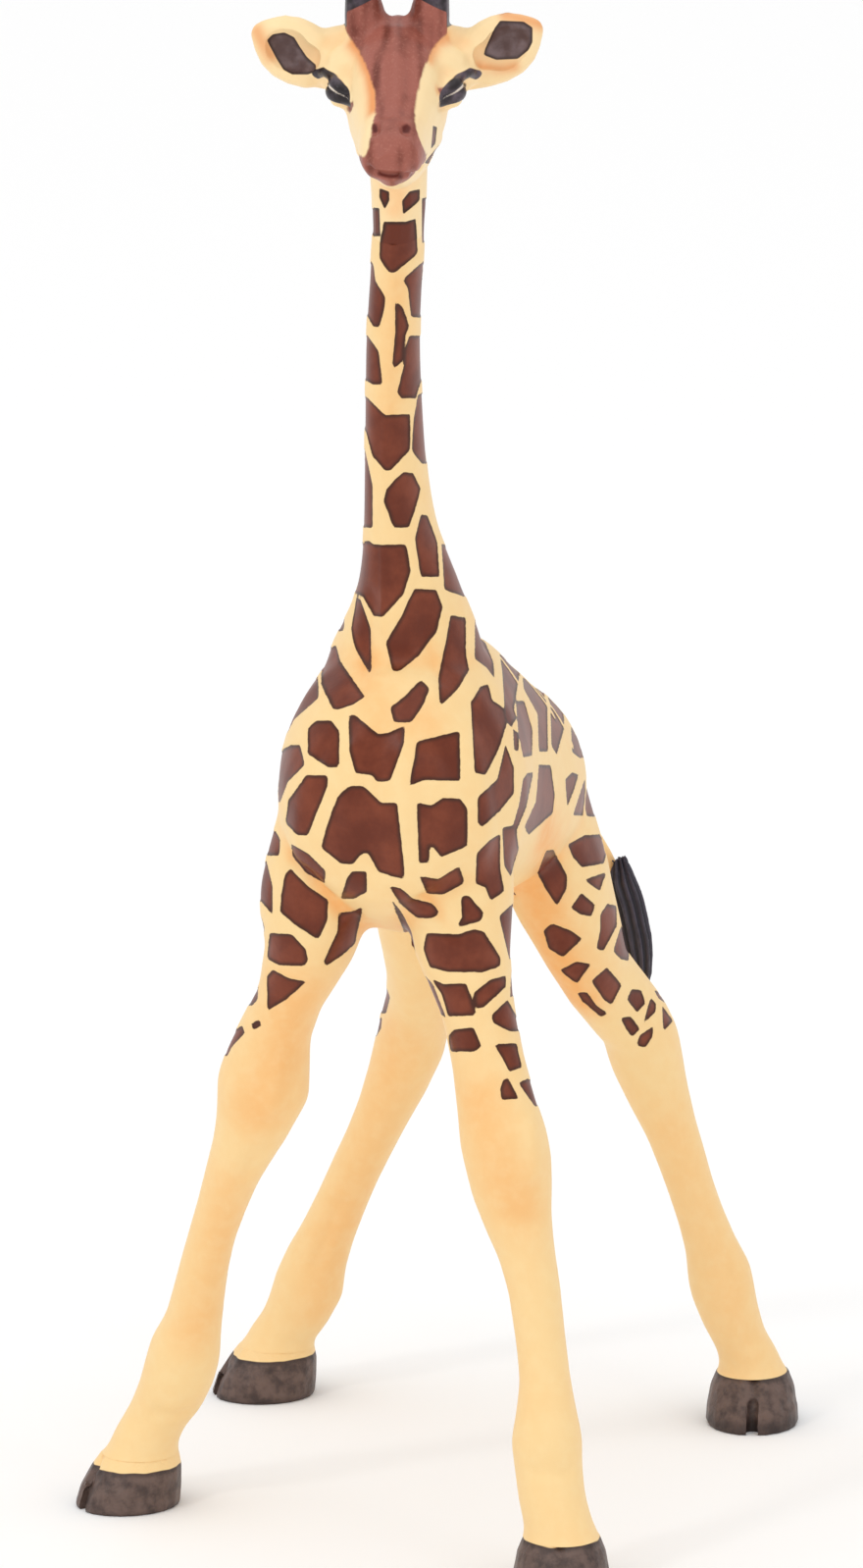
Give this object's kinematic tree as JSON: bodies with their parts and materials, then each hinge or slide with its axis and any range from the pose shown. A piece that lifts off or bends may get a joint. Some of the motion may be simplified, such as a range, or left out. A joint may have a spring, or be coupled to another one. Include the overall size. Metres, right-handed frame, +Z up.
{
  "type": "toy giraffe calf figure",
  "caption": "Standing toy giraffe calf with splayed legs, long neck, turned head, cupped ears, horns, tufted tail and cloven hooves, in a netted coat.",
  "frame": {"origin": "on the ground, under the middle of the figure's box", "axes": "+Z up; the calf faces -Y and its left side is +X"},
  "size_m": [0.0496, 0.068, 0.1227],
  "materials": {
    "patched_vinyl": "satin red-brown patches in a cream net, hand painted on moulded vinyl",
    "cream_vinyl": "warm cream vinyl with a soft sheen, shaded peach by airbrush",
    "brown_vinyl": "brown painted vinyl with dark brushed strokes",
    "black_vinyl": "black painted vinyl, satin",
    "hoof_vinyl": "dark grey-brown painted vinyl, satin"
  },
  "bodies": {
    "root": {"trunk": "patched_vinyl", "neck": "patched_vinyl", "mane": "brown_vinyl", "head": "cream_vinyl", "left_ear": "cream_vinyl", "right_ear": "cream_vinyl", "left_horn": "brown_vinyl", "right_horn": "brown_vinyl", "tail": "cream_vinyl", "tail_tuft": "black_vinyl", "front_left_leg": "cream_vinyl", "front_left_hoof": "hoof_vinyl", "front_right_leg": "cream_vinyl", "front_right_hoof": "hoof_vinyl", "hind_left_leg": "cream_vinyl", "hind_left_hoof": "hoof_vinyl", "hind_right_leg": "cream_vinyl", "hind_right_hoof": "hoof_vinyl"}
  },
  "joints": []
}
